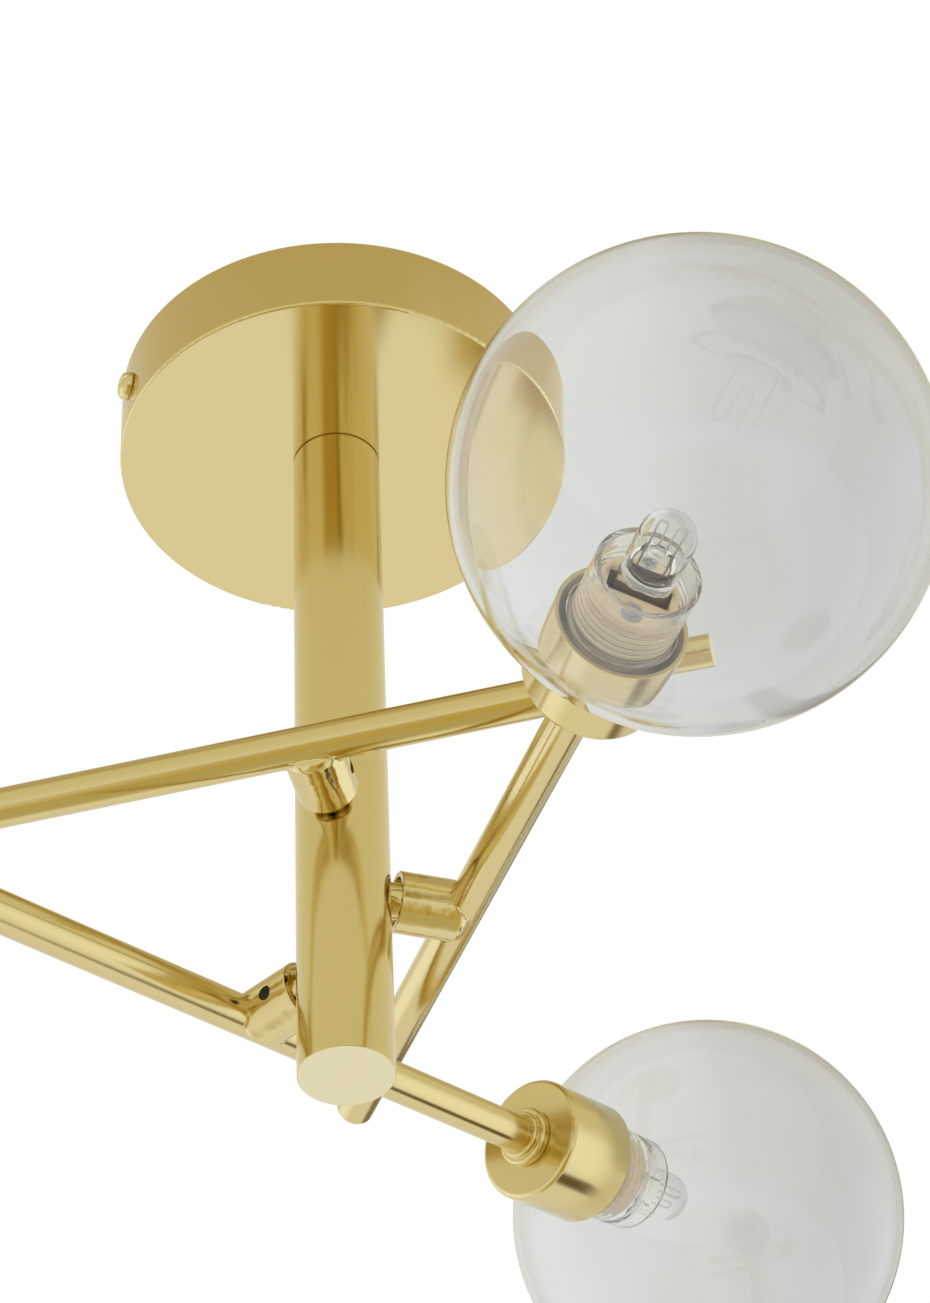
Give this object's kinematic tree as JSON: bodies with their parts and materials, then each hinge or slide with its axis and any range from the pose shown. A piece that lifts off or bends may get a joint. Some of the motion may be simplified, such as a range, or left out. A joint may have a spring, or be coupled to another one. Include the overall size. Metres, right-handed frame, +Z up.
{
  "type": "ceiling light",
  "caption": "Semi flush ceiling light: brass canopy and stem, straight arms that turn on side collars at staggered heights, each with a lamp cup, capsule bulb and clear glass globe.",
  "frame": {"origin": "centre of the mounting strap's upper face, on the ceiling plane and the stem axis", "axes": "+Z up through the ceiling along the stem axis; X along the mounting strap, with the canopy's two side screws on it; the light hangs towards -Z"},
  "size_m": [0.4364, 0.4122, 0.2663],
  "materials": {
    "satin_brass": "fine brushed satin brass under clear lacquer",
    "turned_brass": "plain turned brass, not lacquered",
    "zinc_steel": "bright zinc-plated steel",
    "black_steel": "black oxide",
    "contact_bronze": "folded spring bronze",
    "lamp_wire": "drawn wire",
    "holder_ceramic": "unglazed steatite, matt",
    "block_plastic": "milky polyamide",
    "bulb_glass": "clear quartz capsule",
    "globe_glass": "clear blown glass"
  },
  "bodies": {
    "ceiling_mount": {"ceiling_bracket": "zinc_steel", "terminal_block": "block_plastic", "terminal_screws": "zinc_steel", "earth_screw": "zinc_steel", "canopy": "satin_brass", "canopy_nut": "zinc_steel", "canopy_washer": "zinc_steel", "stem_nipple": "zinc_steel", "stem_top_bush": "turned_brass", "stem_tube": "satin_brass", "stem_end_cap": "satin_brass", "stub_nuts": "zinc_steel", "arm_stub_1": "satin_brass", "arm_stub_2": "satin_brass", "arm_stub_3": "satin_brass"},
    "canopy_screw_left": {"canopy_screw_left": "satin_brass"},
    "canopy_screw_right": {"canopy_screw_right": "satin_brass"},
    "arm_1": {"arm_collar_1": "satin_brass", "grub_screw_1": "black_steel", "arm_tube_1": "satin_brass", "arm_end_plug_1": "satin_brass", "cup_ring_1": "satin_brass", "lamp_cup_1": "satin_brass", "thread_sleeve_1": "holder_ceramic", "lampholder_1": "holder_ceramic", "holder_screws_1": "zinc_steel", "holder_contacts_1": "contact_bronze"},
    "bulb_1": {"bulb_glass_1": "bulb_glass", "bulb_wires_1": "lamp_wire"},
    "globe_1": {"globe_1": "globe_glass", "globe_neck_1": "globe_glass"},
    "arm_2": {"arm_collar_2": "satin_brass", "grub_screw_2": "black_steel", "arm_tube_2": "satin_brass", "arm_end_plug_2": "satin_brass", "cup_ring_2": "satin_brass", "lamp_cup_2": "satin_brass", "thread_sleeve_2": "holder_ceramic", "lampholder_2": "holder_ceramic", "holder_screws_2": "zinc_steel", "holder_contacts_2": "contact_bronze"},
    "bulb_2": {"bulb_glass_2": "bulb_glass", "bulb_wires_2": "lamp_wire"},
    "globe_2": {"globe_2": "globe_glass", "globe_neck_2": "globe_glass"},
    "arm_3": {"arm_collar_3": "satin_brass", "grub_screw_3": "black_steel", "arm_tube_3": "satin_brass", "arm_end_plug_3": "satin_brass", "cup_ring_3": "satin_brass", "lamp_cup_3": "satin_brass", "thread_sleeve_3": "holder_ceramic", "lampholder_3": "holder_ceramic", "holder_screws_3": "zinc_steel", "holder_contacts_3": "contact_bronze"},
    "bulb_3": {"bulb_glass_3": "bulb_glass", "bulb_wires_3": "lamp_wire"},
    "globe_3": {"globe_3": "globe_glass", "globe_neck_3": "globe_glass"}
  },
  "joints": [
    {"name": "canopy_screw_left_out", "type": "slide", "parent": "ceiling_mount", "child": "canopy_screw_left", "axis": [-1, 0, 0], "range_m": [0, 0.008]},
    {"name": "canopy_screw_right_out", "type": "slide", "parent": "ceiling_mount", "child": "canopy_screw_right", "axis": [1, 0, 0], "range_m": [0, 0.008]},
    {"name": "arm_1_swivel", "type": "hinge", "parent": "ceiling_mount", "child": "arm_1", "pos_m": [-0.01765, -0.02717, -0.1628], "axis": [0.5446, 0.8387, 0], "range_deg": [-18.7, 11.3]},
    {"name": "arm_2_swivel", "type": "hinge", "parent": "ceiling_mount", "child": "arm_2", "pos_m": [0.03236, -0.0017, -0.187], "axis": [-0.9986, 0.0523, 0], "range_deg": [-23.1, 8.9]},
    {"name": "arm_3_swivel", "type": "hinge", "parent": "ceiling_mount", "child": "arm_3", "pos_m": [-0.01471, 0.02887, -0.2112], "axis": [0.454, -0.891, 0], "range_deg": [-23.6, 1.4]},
    {"name": "globe_1_off", "type": "slide", "parent": "arm_1", "child": "globe_1", "axis": [-0.8385, 0.5445, -0.0227], "range_m": [0, 0.07]},
    {"name": "globe_2_off", "type": "slide", "parent": "arm_2", "child": "globe_2", "axis": [-0.052, -0.9914, -0.1201], "range_m": [0, 0.07]},
    {"name": "globe_3_off", "type": "slide", "parent": "arm_3", "child": "globe_3", "axis": [0.881, 0.4489, 0.1495], "range_m": [0, 0.07]},
    {"name": "bulb_1_out", "type": "slide", "parent": "arm_1", "child": "bulb_1", "axis": [-0.8385, 0.5445, -0.0227], "range_m": [0, 0.02]},
    {"name": "bulb_2_out", "type": "slide", "parent": "arm_2", "child": "bulb_2", "axis": [-0.052, -0.9914, -0.1201], "range_m": [0, 0.02]},
    {"name": "bulb_3_out", "type": "slide", "parent": "arm_3", "child": "bulb_3", "axis": [0.881, 0.4489, 0.1495], "range_m": [0, 0.02]}
  ]
}
